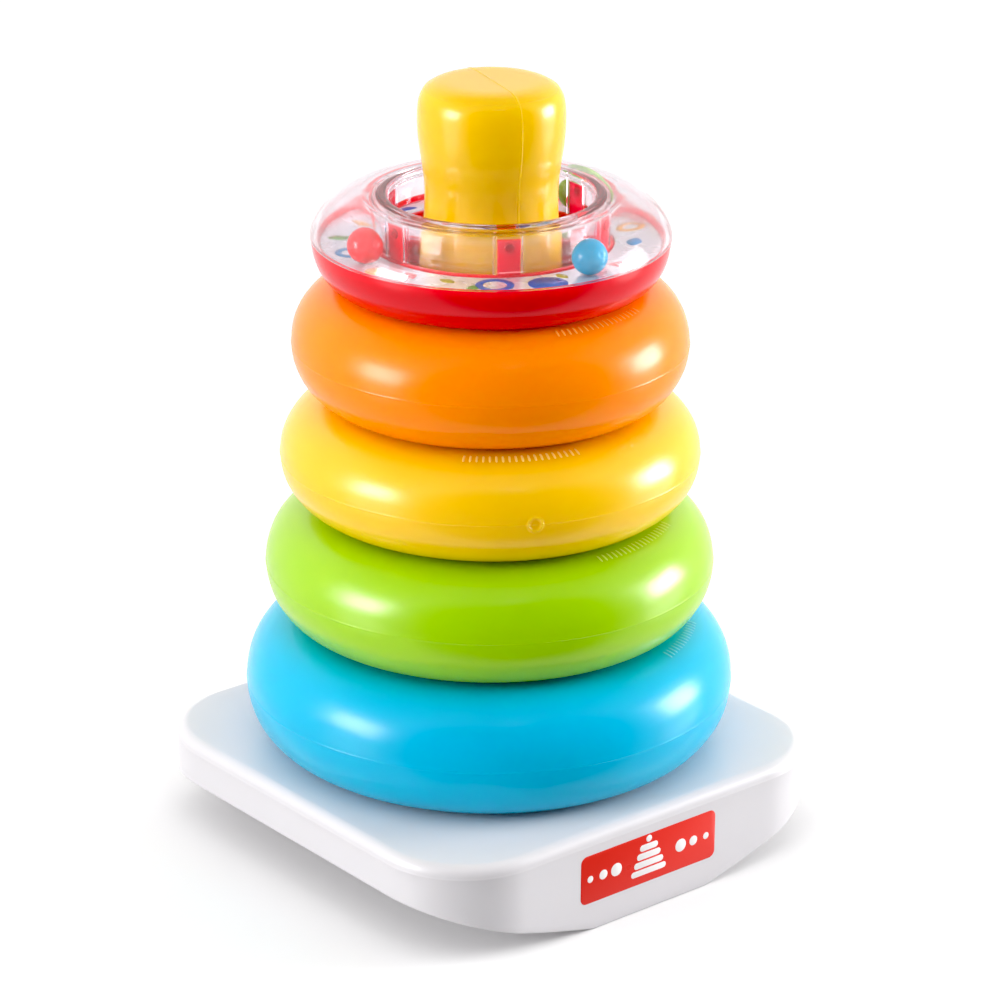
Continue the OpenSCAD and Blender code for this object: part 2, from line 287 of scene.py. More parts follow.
def even_angles(count, fine_at=(), fine_half=4.0, fine_step=0.3):
    """Angles round a circle in degrees, with finer steps around the given ones."""
    angles = set(np.round(np.linspace(-180, 180, count, endpoint=False), 4))
    for middle in fine_at:
        for angle in np.arange(middle - fine_half, middle + fine_half + 0.01, fine_step):
            angles.add(round((angle + 180) % 360 - 180, 4))
    angles = np.array(sorted(angles))
    return angles[np.diff(angles, prepend=-360) > MIN_STEP]


def revolve(section, angles, change=None):
    """Grid of points: the closed or open section, [radius, height], turned about Z.
    change(radius, height, angle) returns the moved radius and height."""
    turn = np.radians(angles)[:, None]
    radius = np.repeat(section[None, :, 0], len(angles), axis=0)
    height = np.repeat(section[None, :, 1], len(angles), axis=0)
    if change:
        radius, height = change(radius, height, np.repeat(angles[:, None], section.shape[0], 1))
    return np.stack([radius * np.cos(turn), radius * np.sin(turn), height], -1).reshape(-1, 3)


def angle_gap(angles, middle):
    """Signed difference of directions, in degrees."""
    return (angles - middle + 180) % 360 - 180


def ripple(waves, turn, height, phase=0.0):
    """Sum of waves round the axis, each (size, count, share of phase, twist per mm)."""
    return sum(size * np.sin(count * turn + share * phase + twist * height)
               for size, count, share, twist in waves)


def turned(points, degrees):
    """Points turned about Z."""
    turn = math.radians(degrees)
    cos, sin = math.cos(turn), math.sin(turn)
    x, y = points[:, 0] * cos - points[:, 1] * sin, points[:, 0] * sin + points[:, 1] * cos
    return np.stack([x, y, points[:, 2]], 1)


# ---------------------------------------------------------------- rings

RING_BULGE = 17.5                  # crown circle to rim
RING_LAND = 3.0                    # flat that the ring rests on
OUTER_POWER, INNER_POWER = 2.05, 2.4
OUTER_STEPS, INNER_STEPS = 72, 48
RING_SPIN = 256
RING_SINK = 0.2                    # mean depth of the blown skin below the ideal surface
RING_WAVES = [(0.10, 2, 1.0, 0.0), (0.06, 5, 2.1, 0.0), (0.035, 9, 1.0, 1 / 4),
              (0.03, 14, 0.0, -1 / 3)]
SEAM_HALF = 0.22                   # parting line: half width and height
SEAM_RISE = 0.13
MARK_REACH, MARK_STEP = 3.0, 0.25  # extra points for the needle mark, out from its centre
MARK_R = 1.9
MARK_RIM, MARK_RIM_HALF = 0.36, 0.32
MARK_PIP, MARK_PIP_R = 0.4, 0.7
MARK_DISH = 0.65


def ring_section(outer, hole, low, high, mark_reach):
    """Closed section of a ring, with extra points across its parting line and out to
    mark_reach on both sides of it, for the mark of the blowing needle."""
    crown = outer - RING_BULGE
    middle, half = (low + high) / 2, (high - low) / 2
    out = (RING_BULGE - RING_LAND / 2, half)
    into = (crown - RING_LAND / 2 - hole, half)
    outer_lobe = lobe((crown + RING_LAND / 2, middle), out, OUTER_POWER, -90, 90,
                      OUTER_STEPS)
    near_seam = np.linspace(-4, 4, 17) * SEAM_HALF
    near_mark = np.arange(-mark_reach, mark_reach + 0.01, MARK_STEP)
    offset = np.concatenate([near_seam, near_mark])
    bulge = out[0] * (1 - np.abs(offset / half) ** OUTER_POWER) ** (1 / OUTER_POWER)
    extra = np.stack([crown + RING_LAND / 2 + bulge, middle + offset], 1)
    outer_lobe = np.concatenate([outer_lobe, extra])
    outer_lobe = outer_lobe[np.argsort(outer_lobe[:, 1], kind="stable")]
    apart = np.append(True, np.diff(outer_lobe[:, 1]) > 0.004)
    inner_lobe = lobe((crown - RING_LAND / 2, middle), into, INNER_POWER, 90, 270,
                      INNER_STEPS)
    return np.concatenate([outer_lobe[apart], inner_lobe])


def make_ring(name, hole, material, phase, mark=None):
    """Hollow blow-moulded ring: parting line round its rim, a faintly uneven skin and,
    where mark gives a direction, the round mark of the blowing needle."""
    low, high = box_mm(name)
    outer = (high[0] - low[0]) / 2 + 0.02
    middle = (low[2] + high[2]) / 2
    section = ring_section(outer, hole, low[2], high[2], 0 if mark is None else MARK_REACH)
    marks = () if mark is None else (mark,)

    def skin(radius, height, angle):
        turn = np.radians(angle)
        outward = np.clip((radius - (outer - RING_BULGE)) / RING_BULGE, 0, 1)
        wave = ripple(RING_WAVES, turn, height, phase)
        radius = radius + outward * (wave - RING_SINK)
        seam = np.exp(-((height - middle) / SEAM_HALF) ** 2)
        rise = SEAM_RISE * (0.75 + 0.25 * np.sin(7 * turn + phase) * np.sin(3 * turn))
        radius = radius + outward ** 4 * seam * rise
        for place in marks:
            across = np.radians(angle_gap(angle, place)) * outer
            away = np.hypot(across, height - middle)
            rim = MARK_RIM * np.exp(-((away - MARK_R) / MARK_RIM_HALF) ** 2)
            pip = MARK_PIP * np.exp(-(away / MARK_PIP_R) ** 2)
            dish = MARK_DISH * np.clip(1 - away / MARK_R, 0, 1)
            radius = radius + outward ** 4 * (rim + pip - dish)
        return radius, height

    angles = even_angles(RING_SPIN, marks)
    points = revolve(section, angles, skin)
    faces = grid_faces(len(angles), len(section), True, True)
    return stand_for(build(name + "_skin", points, faces, material), name, name)


TICK_HALF = (1.5, 0.42)            # half length across the row, half width along it
TICK_LEVELS = [(1.0, -0.1), (1.0, 0.12), (0.8, 0.2), (0.45, 0.28)]     # share, rise
TICK_SPIN, TICK_PITCH = 20, 1.65
TICK_SINK = 0.22                   # the ticks stand this far below the ideal surface


def make_ticks(name, colour, off_crown, start, stop):
    """Row of small raised ticks on a ring's upper shoulder, off_crown outside its crown
    circle, between two directions. Their colour is a paler copy of the ring's, a painted
    highlight for the light their edges catch."""
    low, high = box_mm(name)
    outer, half = (high[0] - low[0]) / 2, (high[2] - low[2]) / 2
    crown, middle = outer - RING_BULGE, (high[2] + low[2]) / 2
    reach = RING_BULGE - RING_LAND / 2
    across = (off_crown - RING_LAND / 2) / reach
    height = half * (1 - across ** OUTER_POWER) ** (1 / OUTER_POWER)
    slope = (half / reach) * (across * half / height)
    normal = np.array([slope, 0, 1.0]) / math.hypot(slope, 1)
    along = np.array([normal[2], 0, -normal[0]])
    seat = np.array([crown + off_crown, 0, middle + height]) - normal * TICK_SINK
    spin = np.linspace(0, 2 * math.pi, TICK_SPIN, endpoint=False)
    length = TICK_HALF[0] * np.sign(np.cos(spin)) * np.sqrt(np.abs(np.cos(spin)))
    width = TICK_HALF[1] * np.sin(spin)
    outline = np.outer(length, along) + np.outer(width, [0, 1, 0])
    tick = np.concatenate([seat + outline * share + normal * rise
                           for share, rise in TICK_LEVELS])
    tick_faces = capped_faces(len(TICK_LEVELS), TICK_SPIN)
    points, faces = [], []
    steps = int(math.radians(stop - start) * (crown + off_crown) / TICK_PITCH)
    for place in np.linspace(start, stop, steps + 1):
        faces += [[len(points) + corner for corner in face] for face in tick_faces]
        points.extend(turned(tick, place))
    # Paler copy of the ring's colour: painted highlight for the light on the ticks' edges
    material = moulded_plastic(name + "_tick_painted_highlight_plastic", colour, glow=0.0)
    ticks = build(name + "_ticks", points, faces, material)
    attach(ticks, name)


make_ring("ring_blue", 31.0, BLUE, 0.4)
make_ring("ring_green", 28.4, GREEN, 1.7)
make_ring("ring_yellow", 25.9, YELLOW, 2.9, mark=-117.5)
make_ring("ring_orange", 23.6, ORANGE, 4.2)
# Each tick colour is paler than its ring's own colour: painted highlight on the ticks' edges
make_ticks("ring_blue", (0.14, 0.66, 0.9), 6.0, -70, -46)
make_ticks("ring_green", (0.62, 0.85, 0.16), 6.0, -94, -58)
make_ticks("ring_yellow", (1.0, 0.78, 0.2), 6.5, -138, -100)
make_ticks("ring_orange", (1.0, 0.46, 0.08), 7.0, -106, -68)


# ---------------------------------------------------------------- post

KNOB_R, KNOB_Z = 19.8, 205.0
WAIST_R, WAIST_Z = 17.9, 185.0
CONE_SLOPE, CONE_EASE = 0.075, 6.0
CAP_R, CAP_POWER = 9.0, 3.2
CAP_EDGE_Z = KNOB_Z + 9.0          # above this the top is lowered, to leave the seam room
CAP_DROP = 0.17
TOP_RADII = (7.5, 6.0, 4.5, 3.0, 1.5)
POLE_R = 0.3                       # the end faces close on a small flat disc
FOOT_IN, FOOT_LIP = 10.0, 3.5      # foot flange: an inner loop, and its reach past the neck
POST_SINK, TOP_SINK = 0.12, 0.07   # depth of the skin below the ideal surface
POST_WAVES = [(0.05, 2, 0.0, 1 / 11), (0.03, 3, 0.0, -1 / 7)]
POST_SEAM = -105.8                 # direction of the post's parting plane
POST_SEAM_RISE = 0.16
PIN_Z, PIN_R, PIN_HALF = 187.5, 0.9, 0.3             # ring-shaped mark of a pin
PIN_STRETCH, PIN_RISE = 1.2, 0.22
POST_FOOT_Z = box_mm("post")[0][2]
POST_TOP_Z = box_mm("post")[1][2]
DECK_Z = box_mm("base_shell")[1][2]
BASE_WALL = 2.4
NECK_Z = DECK_Z - BASE_WALL        # underside of the deck


def post_radius(height):
    """Radius of the post: a cone up to the waist, and a knob that swells above it."""
    below = WAIST_R + CONE_SLOPE * (np.hypot(WAIST_Z - height, CONE_EASE) - CONE_EASE)
    rise = np.clip((height - WAIST_Z) / (KNOB_Z - WAIST_Z), 0, 1)
    above = WAIST_R + (KNOB_R - WAIST_R) * (1 - np.cos(math.pi * rise)) / 2
    return np.where(height < WAIST_Z, below, above)


def make_post():
    """Blow-moulded post: parting line up both sides and over the top, and a pin mark."""
    side_z = np.linspace(NECK_Z, KNOB_Z, 120)
    side = np.stack([post_radius(side_z), side_z], 1)
    cap = lobe((CAP_R, KNOB_Z), (KNOB_R - CAP_R, POST_TOP_Z - KNOB_Z), CAP_POWER, 0, 90, 48)[1:]
    top = [[radius, POST_TOP_Z] for radius in TOP_RADII + (POLE_R,)]
    lip = side[0, 0] + FOOT_LIP
    foot = [[radius, POST_FOOT_Z] for radius in (POLE_R, FOOT_IN, lip)] + [[lip, NECK_Z]]
    section = np.concatenate([foot, side, cap, top])

    def skin(radius, height, angle):
        turn = np.radians(angle - POST_SEAM)
        off_plane = np.abs(radius * np.sin(turn))
        seam = np.clip(1.4 - off_plane / SEAM_HALF, 0, 1) * (height > DECK_Z)
        seam = seam * POST_SEAM_RISE
        on_side = np.clip((POST_TOP_Z - 4 - height) / 6, 0, 1)
        side_move = ripple(POST_WAVES, turn, height) + seam - POST_SINK
        moved = radius + on_side * side_move - (1 - on_side) * TOP_SINK
        raised = (1 - on_side) * seam
        pin_across = np.radians(angle_gap(angle, POST_SEAM)) * radius
        pin_away = np.hypot(pin_across, (height - PIN_Z) / PIN_STRETCH)
        pin = np.exp(-((pin_away - PIN_R) / PIN_HALF) ** 2) * (height < KNOB_Z)
        moved = np.maximum(moved + PIN_RISE * pin, POLE_R)
        return (np.where(height <= NECK_Z, radius, moved),
                height + raised - CAP_DROP * (height > CAP_EDGE_Z))

    fine = (POST_SEAM, POST_SEAM + 180)
    angles = even_angles(192, fine, fine_half=3.5, fine_step=0.35)
    points = revolve(section, angles, skin)
    rows, columns = len(angles), len(section)
    faces = grid_faces(rows, columns, True, False)
    foot_loop = [row * columns for row in range(rows)]
    top_loop = [start + columns - 1 for start in foot_loop]
    faces += [foot_loop[::-1], top_loop]
    piece = build("post_skin", points, faces, YELLOW_POST, crease=50)
    return stand_for(piece, "base", "post")


make_post()


# ---------------------------------------------------------------- rattle

RATTLE_SPIN = 256
RATTLE_R = 48.3
LIP_OVERHANG = 0.3
RATTLE_WALL = 1.6
BOWL_Z = box_mm("rattle_bowl")[0][2]
SEAM_Z = BOWL_Z + 13.2
DOME_TOP = box_mm("rattle_dome")[1][2]
BOWL_CROWN_R, BOWL_LAND, BOWL_POWER = 37.0, 3.0, 2.1
DOME_CROWN_R, DOME_POWER = 35.0, 1.65
TUBE_R, TUBE_T = 28.0, 2.4
TUBE_FOOT_Z = BOWL_Z + 5.7
LIP_R, LIP_IN, LIP_H = 30.9, 0.4, 2.4
COLLAR_R = TUBE_R + TUBE_T + 0.3
COLLAR_T, COLLAR_EASE = 1.6, 0.2
DISC_GAP, DISC_LEDGE = 0.7, 2.0    # play round the disc, and the ledge that carries it
DISC_EASE = 0.08
DISC_Z = box_mm("rattle_print")[0][2]
DISC_TOP = box_mm("rattle_print")[1][2]
DISC_OUT = RATTLE_R - LIP_OVERHANG - RATTLE_WALL - DISC_GAP
DISC_IN = COLLAR_R + COLLAR_T + 0.4
COLLAR_TOP = DISC_TOP + 0.4
TAB_TOP = DOME_TOP - 3.2
TAB_W, TAB_T, TAB_SET = 6.0, 1.2, 0.15
TAB_COUNT, TAB_TURN, TAB_EDGE = 6, -121.0, 0.3
BOSS = [(1.4, 0.0), (1.4, 0.45), (1.25, 0.6), (0.9, 0.6), (0.75, 0.4)]  # radius, reach
BOSS_DROP, BOSS_SINK, BOSS_SPIN = 2.2, 0.05, 24
GUIDE_T, GUIDE_GAP, GUIDE_EDGE = 0.8, 0.3, 0.15
DOME_FILLET = 1.2


def make_bowl():
    """Red lower half of the rattle with its collar and the ledge under the disc."""
    outer = RATTLE_R - LIP_OVERHANG - BOWL_CROWN_R - BOWL_LAND / 2
    depth = SEAM_Z - BOWL_Z
    out_centre = (BOWL_CROWN_R + BOWL_LAND / 2, SEAM_Z)
    in_centre = (BOWL_CROWN_R - BOWL_LAND / 2, TUBE_FOOT_Z)
    collar_out, ledge = COLLAR_R + COLLAR_T, DISC_OUT - DISC_LEDGE
    section = np.concatenate([
        lobe(out_centre, (outer, depth), BOWL_POWER, 0, -90, 40),
        lobe(in_centre, (in_centre[0] - TUBE_R, TUBE_FOOT_Z - BOWL_Z), BOWL_POWER, 270, 180, 24),
        [[COLLAR_R, TUBE_FOOT_Z], [COLLAR_R, COLLAR_TOP - COLLAR_EASE],
         [COLLAR_R + COLLAR_EASE, COLLAR_TOP], [collar_out - COLLAR_EASE, COLLAR_TOP],
         [collar_out, COLLAR_TOP - COLLAR_EASE], [collar_out, BOWL_Z + RATTLE_WALL + 2]],
        lobe(out_centre, (outer - RATTLE_WALL, depth - RATTLE_WALL), BOWL_POWER, -90, -9, 30),
        [[ledge, DISC_Z - 1], [ledge, DISC_Z], [DISC_OUT + DISC_GAP, DISC_Z],
         [DISC_OUT + DISC_GAP, SEAM_Z]],
    ])
    angles = even_angles(RATTLE_SPIN)
    points = revolve(section, angles)
    faces = [face[::-1] for face in grid_faces(len(angles), len(section), True, True)]
    bowl = build("rattle_bowl_shell", points, faces, RED, crease=35)
    stand_for(bowl, "rattle", "rattle_bowl")
    for index in range(TAB_COUNT):
        make_tab(index, TAB_TURN + index * 360 / TAB_COUNT)


def arc_block(inner, outer, half_width, low, high, edge):
    """Points and faces of an upright curved block about Z, centred on +X, with its
    outer edges eased by edge."""
    across = np.linspace(-1, 1, 9)
    up = np.array([0.0, 0.15, 0.85, 1.0])
    points, faces = [], []
    for radius, pinch in ((inner, 0.0), (outer - edge, 0.0), (outer, edge)):
        for level in up:
            z = low + pinch + (high - low - 2 * pinch) * level
            for step in across:
                y = step * (half_width - pinch)
                points.append([math.sqrt(radius ** 2 - y ** 2), y, z])
    top, side = len(up) - 1, len(across) - 1

    def at(row, level, step):
        return (row * len(up) + level) * len(across) + step

    for level in range(top):
        for step in range(side):
            faces.append([at(0, level, step + 1), at(0, level, step),
                          at(0, level + 1, step), at(0, level + 1, step + 1)])
            faces.append([at(2, level, step), at(2, level, step + 1),
                          at(2, level + 1, step + 1), at(2, level + 1, step)])
    for row in range(2):
        for step in range(side):
            faces.append([at(row, 0, step), at(row, 0, step + 1),
                          at(row + 1, 0, step + 1), at(row + 1, 0, step)])
            faces.append([at(row, top, step + 1), at(row, top, step),
                          at(row + 1, top, step), at(row + 1, top, step + 1)])
        for level in range(top):
            faces.append([at(row, level + 1, 0), at(row, level, 0),
                          at(row + 1, level, 0), at(row + 1, level + 1, 0)])
            faces.append([at(row, level, side), at(row, level + 1, side),
                          at(row + 1, level + 1, side), at(row + 1, level, side)])
    return np.array(points), faces


def make_tab(index, direction):
    """Red snap tab with its round boss."""
    points, faces = arc_block(COLLAR_R + TAB_SET, COLLAR_R + TAB_T, TAB_W / 2,
                              COLLAR_TOP - 1, TAB_TOP, TAB_EDGE)
    spin = np.linspace(0, 2 * math.pi, BOSS_SPIN, endpoint=False)
    boss = [[COLLAR_R + TAB_T + reach - BOSS_SINK, radius * math.cos(a),
             TAB_TOP - BOSS_DROP + radius * math.sin(a)] for radius, reach in BOSS for a in spin]
    boss_faces = capped_faces(len(BOSS), BOSS_SPIN)
    faces += [[len(points) + corner for corner in face] for face in boss_faces]
    points = turned(np.concatenate([points, boss]), direction)
    piece = build(f"snap_tab_{index + 1}", points, faces, RED, crease=40)
    stand_for(piece, "rattle", "rattle_bowl")


def make_dome():
    """Clear upper half of the rattle: inner tube, rolled lip and a wall of even thickness."""
    lip = LIP_H / 2
    fillet_z = DOME_TOP - RATTLE_WALL - DOME_FILLET
    section = np.concatenate([
        lobe((DOME_CROWN_R, SEAM_Z), (RATTLE_R - DOME_CROWN_R, DOME_TOP - SEAM_Z), DOME_POWER,
             0, 90, 56),
        lobe((LIP_R - lip, DOME_TOP - lip), (lip, lip), 2, 60, 90, 4),
        lobe((TUBE_R - LIP_IN + lip, DOME_TOP - lip), (lip, lip), 2, 90, 180, 12),
        [[TUBE_R, DOME_TOP - LIP_H - 0.3], [TUBE_R, TUBE_FOOT_Z],
         [TUBE_R + TUBE_T, TUBE_FOOT_Z], [TUBE_R + TUBE_T, fillet_z]],
        lobe((TUBE_R + TUBE_T + DOME_FILLET, fillet_z), (DOME_FILLET, DOME_FILLET), 2,
             180, 90, 6)[1:],
        lobe((DOME_CROWN_R, SEAM_Z), (RATTLE_R - DOME_CROWN_R - RATTLE_WALL,
                                      DOME_TOP - SEAM_Z - RATTLE_WALL), DOME_POWER, 90, 0, 48),
    ])
    angles = even_angles(RATTLE_SPIN)
    points = revolve(section, angles)
    faces = grid_faces(len(angles), len(section), True, True)
    dome = build("rattle_dome_shell", points, faces, CLEAR, crease=40)
    stand_for(dome, "rattle", "rattle_dome")


def make_disc():
    """Silvery disc under the print, with eased edges."""
    rows = [[DISC_OUT, DISC_Z], [DISC_OUT, DISC_TOP - DISC_EASE],
            [DISC_OUT - DISC_EASE, DISC_TOP]]
    rows += [[radius, DISC_TOP] for radius in np.linspace(DISC_OUT - 2, DISC_IN + 0.1, 6)]
    rows += [[DISC_IN, DISC_TOP - DISC_EASE], [DISC_IN, DISC_Z]]
    angles = even_angles(192)
    points = revolve(np.array(rows), angles)
    faces = grid_faces(len(angles), len(rows), True, True)
    disc = build("print_disc", points, faces, PRINT, crease=35)
    stand_for(disc, "rattle", "rattle_print")


def make_guides():
    """Clear ribs of the dome that stand on both sides of each snap tab."""
    points, faces = [], []
    for index in range(TAB_COUNT):
        for side in (-1, 1):
            block, block_faces = arc_block(TUBE_R + TUBE_T + 0.02, COLLAR_R + TAB_T,
                                           GUIDE_T / 2, COLLAR_TOP + GUIDE_GAP,
                                           DOME_TOP - RATTLE_WALL, GUIDE_EDGE)
            block = block + [0, side * (TAB_W / 2 + GUIDE_GAP + GUIDE_T / 2), 0]
            faces += [[len(points) + corner for corner in face] for face in block_faces]
            points.extend(turned(block, TAB_TURN + index * 360 / TAB_COUNT))
    guides = build("dome_guides", points, faces, CLEAR, crease=40)
    stand_for(guides, "rattle", "rattle_dome")


make_bowl()
make_dome()
make_guides()
make_disc()


# Generic confetti printed on the disc
INK = {
    "blue": (0.01, 0.09, 0.42), "sky": (0.06, 0.3, 0.62), "green": (0.13, 0.36, 0.04),
    "olive": (0.5, 0.42, 0.03), "pink": (0.72, 0.1, 0.12), "amber": (0.85, 0.42, 0.03),
}
INK_LIFT = 0.03


def ink_material(name, colour):
    """Printing ink on the film: the same surface, far less metallic."""
    material = foil("ink_" + name, shade(colour, 1.0), roughness=0.35)
    material.node_tree.nodes["Principled BSDF"].inputs["Metallic"].default_value = 0.1
    return material


INKS = {name: ink_material(name, colour) for name, colour in INK.items()}


def blob(size, power=2.0, squash=1.0, count=48):
    """Closed outline of a rounded shape about the origin."""
    return lobe((0, 0), (size, size * squash), power, 0, 360, count)[:-1]


def print_shape(name, outline, hole, ink, distance, direction, tilt):
    """Flat printed shape, with a hole where hole is a smaller copy's share."""
    turn = math.radians(tilt)
    spin = np.array([[math.cos(turn), math.sin(turn)], [-math.sin(turn), math.cos(turn)]])
    flat = outline @ spin
    low, high = DISC_TOP - INK_LIFT, DISC_TOP + INK_LIFT
    loops = [(flat, low), (flat, high)]
    if hole:
        loops += [(flat * hole, high), (flat * hole, low)]
        faces = [face[::-1] for face in grid_faces(4, len(outline), True, True)]
    else:
        faces = capped_faces(2, len(outline))
    placed = np.concatenate([np.insert(loop + [distance, 0], 2, z, axis=1) for loop, z in loops])
    piece = build(name, turned(placed, direction), faces, INKS[ink])
    stand_for(piece, "rattle", None)


CIRCLE, DROP, LOZENGE = blob(1.0), blob(1.0, 1.5, 0.6), blob(1.0, 1.2, 0.7)
# (outline, hole share, ink, size, distance from the axis, direction, tilt)
CONFETTI = [
    (CIRCLE, 0.62, "blue", 5.0, 38.6, -128, 0),
    (CIRCLE, 0.0, "blue", 5.2, 40.0, -108, 0),
    (DROP, 0.0, "green", 3.4, 40.4, 140, 20),
    (LOZENGE, 0.0, "pink", 2.6, 37.6, -163, 50),
    (DROP, 0.0, "olive", 2.4, 37.2, -147, 70),
    (DROP, 0.0, "olive", 2.2, 36.0, -99, 10),
    (DROP, 0.0, "sky", 3.6, 38.0, -42, 80),
    (CIRCLE, 0.55, "amber", 4.2, 39.5, -20, 0),
    (LOZENGE, 0.0, "pink", 3.4, 40.0, -72, 30),
    (CIRCLE, 0.0, "green", 3.2, 40.5, 36, 0),
    (CIRCLE, 0.6, "pink", 4.6, 38.6, 62, 0),
    (DROP, 0.0, "blue", 3.8, 40.0, 90, 45),
    (LOZENGE, 0.0, "amber", 3.2, 38.4, 114, 10),
    (CIRCLE, 0.58, "sky", 4.2, 39.0, 160, 0),
    (CIRCLE, 0.0, "amber", 2.8, 41.0, -176, 0),
    (LOZENGE, 0.0, "green", 2.4, 41.4, -136, 0),
]
for number, (outline, hole, ink, size, distance, direction, tilt) in enumerate(CONFETTI, 1):
    print_shape(f"print_shape_{number}", outline * size, hole, ink, distance, direction, tilt)


# ---------------------------------------------------------------- beads

BEAD_SEAM, BEAD_SEAM_RISE = 1.2, 0.006               # half width in degrees, share of radius
GATE_SPREAD, GATE_DEPTH = 14, 0.05
BEAD_LEAN = 70
BEAD_SPIN = 64


def make_bead(name, material):
    """Moulded bead with a fine parting line and a shallow gate mark."""
    low, high = box_mm(name)
    centre, radius = (low + high) / 2, (high[2] - low[2]) / 2
    rise = np.concatenate([np.linspace(-90, -3, 30)[1:], [-BEAD_SEAM, 0, BEAD_SEAM],
                           np.linspace(3, 90, 30)[:-1]])
    spin = np.linspace(0, 2 * math.pi, BEAD_SPIN, endpoint=False)
    up, around = np.meshgrid(np.radians(rise), spin, indexing="ij")
    seam = np.clip(1 - np.abs(np.degrees(up)) / BEAD_SEAM, 0, 1)
    gate = np.clip(1 - (90 - np.degrees(up)) / GATE_SPREAD, 0, 1)
    size = radius * (1 - BEAD_SEAM_RISE * (1 - seam)) * (1 - GATE_DEPTH * gate)
    level = size * np.cos(up)
    local = np.stack([level * np.cos(around), level * np.sin(around), size * np.sin(up)], -1)
    local = local.reshape(-1, 3)
    faces = capped_faces(len(rise), BEAD_SPIN)
    lean = np.array(Matrix.Rotation(math.radians(BEAD_LEAN), 3, "X"))
    return stand_for(build(name + "_ball", local @ lean.T + centre, faces, material),
                     name, name)


make_bead("bead_red", BEAD_RED)
make_bead("bead_blue", BEAD_BLUE)
make_bead("bead_green", BEAD_GREEN)


# ---------------------------------------------------------------- base

CORNER_R = 26.0
EDGE_R = 3.0
SIDE_STEPS, CORNER_STEPS = 44, 20
BASE_SEAM_DROP = 0.7               # parting line, below the rounded edge
BASE_SEAM = ((0.25, 0.0), (0.12, 0.035), (0.0, 0.05), (-0.12, 0.035), (-0.25, 0.0))
ROCKER_FLAT, ROCKER_KICK, ROCKER_R = 20.0, 13.2, 360.0
SKIN_IN = 0.06                     # the shell's walls lie this far inside the CAD box
HOLE_R = float(post_radius(np.array(DECK_Z))) + 0.3


def rocker_z(x):
    """Height of the underside: a flat strip, then an arc that curls up at both ends."""
    arc_x = ROCKER_FLAT - ROCKER_R * math.sin(math.radians(ROCKER_KICK))
    arc_z = ROCKER_R * math.cos(math.radians(ROCKER_KICK))
    arc = arc_z - np.sqrt(ROCKER_R ** 2 - (np.abs(x) - arc_x) ** 2)
    return np.where(np.abs(x) < ROCKER_FLAT, 0.0, arc)


def base_outline():
    """Plan outline of the base as points, and each point's outward direction."""
    low, high = box_mm("base_shell")
    half = (high[:2] - low[:2]) / 2
    points, outward = [], []
    centres = np.array(QUARTERS) * (half - CORNER_R)
    for quarter, centre in enumerate(centres):
        for angle in np.radians(np.linspace(0, 90, CORNER_STEPS + 1) + 90 * quarter):
            away = np.array([math.cos(angle), math.sin(angle)])
            points.append(centre + away * CORNER_R)
            outward.append(away)
        to_next = centres[(quarter + 1) % len(centres)] - centre
        for step in range(1, SIDE_STEPS):
            points.append(centre + to_next * step / SIDE_STEPS + away * CORNER_R)
            outward.append(away)
    return np.array(points), np.array(outward)


def make_base():
    """Shell of the base as closed loops, from the post's hole over the deck and the rim,
    down the outside, and back up the inside."""
    outline, outward = base_outline()
    around = len(outline)
    polar = np.arctan2(outline[:, 1], outline[:, 0])
    hole = np.stack([np.cos(polar), np.sin(polar)], 1) * HOLE_R
    floor_z = rocker_z(outline[:, 0])

    def ring_at(inset, z):
        plan = outline - outward * inset
        return np.concatenate([plan, np.broadcast_to(z, (around,))[:, None]], 1)

    def deck_at(share, z):
        """Loop on the deck, share of the way from the hole to the edge."""
        edge = outline - outward * (EDGE_R + SKIN_IN)
        plan = hole + (edge - hole) * share
        return np.concatenate([plan, np.full((around, 1), z)], 1)

    loops = [deck_at(share, DECK_Z - SKIN_IN) for share in np.linspace(0, 1, 14)[:-1]]
    for angle in np.radians(np.linspace(90, 0, 11)):
        loops.append(ring_at(SKIN_IN + EDGE_R * (1 - math.cos(angle)),
                             DECK_Z - SKIN_IN - EDGE_R * (1 - math.sin(angle))))
    seam_z = DECK_Z - EDGE_R - BASE_SEAM_DROP
    for rise, out in BASE_SEAM:
        loops.append(ring_at(SKIN_IN - out, seam_z + rise))
    for share in (0.3, 0.6, 0.9):
        loops.append(ring_at(SKIN_IN, seam_z + (floor_z - seam_z) * share))
    rim = [(SKIN_IN, 0.5), (SKIN_IN + 0.12, 0.15), (SKIN_IN + 0.4, 0.0),
           (BASE_WALL - 0.2, 0.0), (BASE_WALL, 0.3)]
    loops += [ring_at(inset, floor_z + lift) for inset, lift in rim]
    loops.append(ring_at(BASE_WALL, NECK_Z - 1))
    loops.append(ring_at(BASE_WALL + 1, NECK_Z))
    loops.append(deck_at(0.0, NECK_Z))
    points = np.concatenate(loops)
    faces = grid_faces(len(loops), around, True, True)
    shell = build("base_shell_skin", points, faces, WHITE, crease=50)
    stand_for(shell, "base", "base_shell")


make_base()


# ---------------------------------------------------------------- label

LABEL_CORNER = 2.0
LABEL_FACE, LABEL_BACK = 0.02, 0.3                   # depths behind the CAD label's face
INK_BACK = 0.1
ROUND = 0.98                       # corner radius of a pill, as a share of its half height
TOWER = [(6.2, 0.9), (5.2, 0.95), (4.2, 0.95), (3.2, 0.95)]             # half sizes
TOWER_FOOT, TOWER_GAP = 2.4, 0.5
BALL = 1.0
DOTS = (1.9, 1.4, 1.0)
DOT_START, DOT_PITCH = 11.5, 4.6


def rounded_box(half_w, half_h, radius, count=8):
    """Outline of a rounded rectangle about the origin."""
    points = []
    for quarter, (sx, sy) in enumerate(QUARTERS):
        for angle in np.radians(np.linspace(0, 90, count + 1) + 90 * quarter):
            points.append([sx * (half_w - radius) + radius * math.cos(angle),
                           sy * (half_h - radius) + radius * math.sin(angle)])
    return np.array(points)


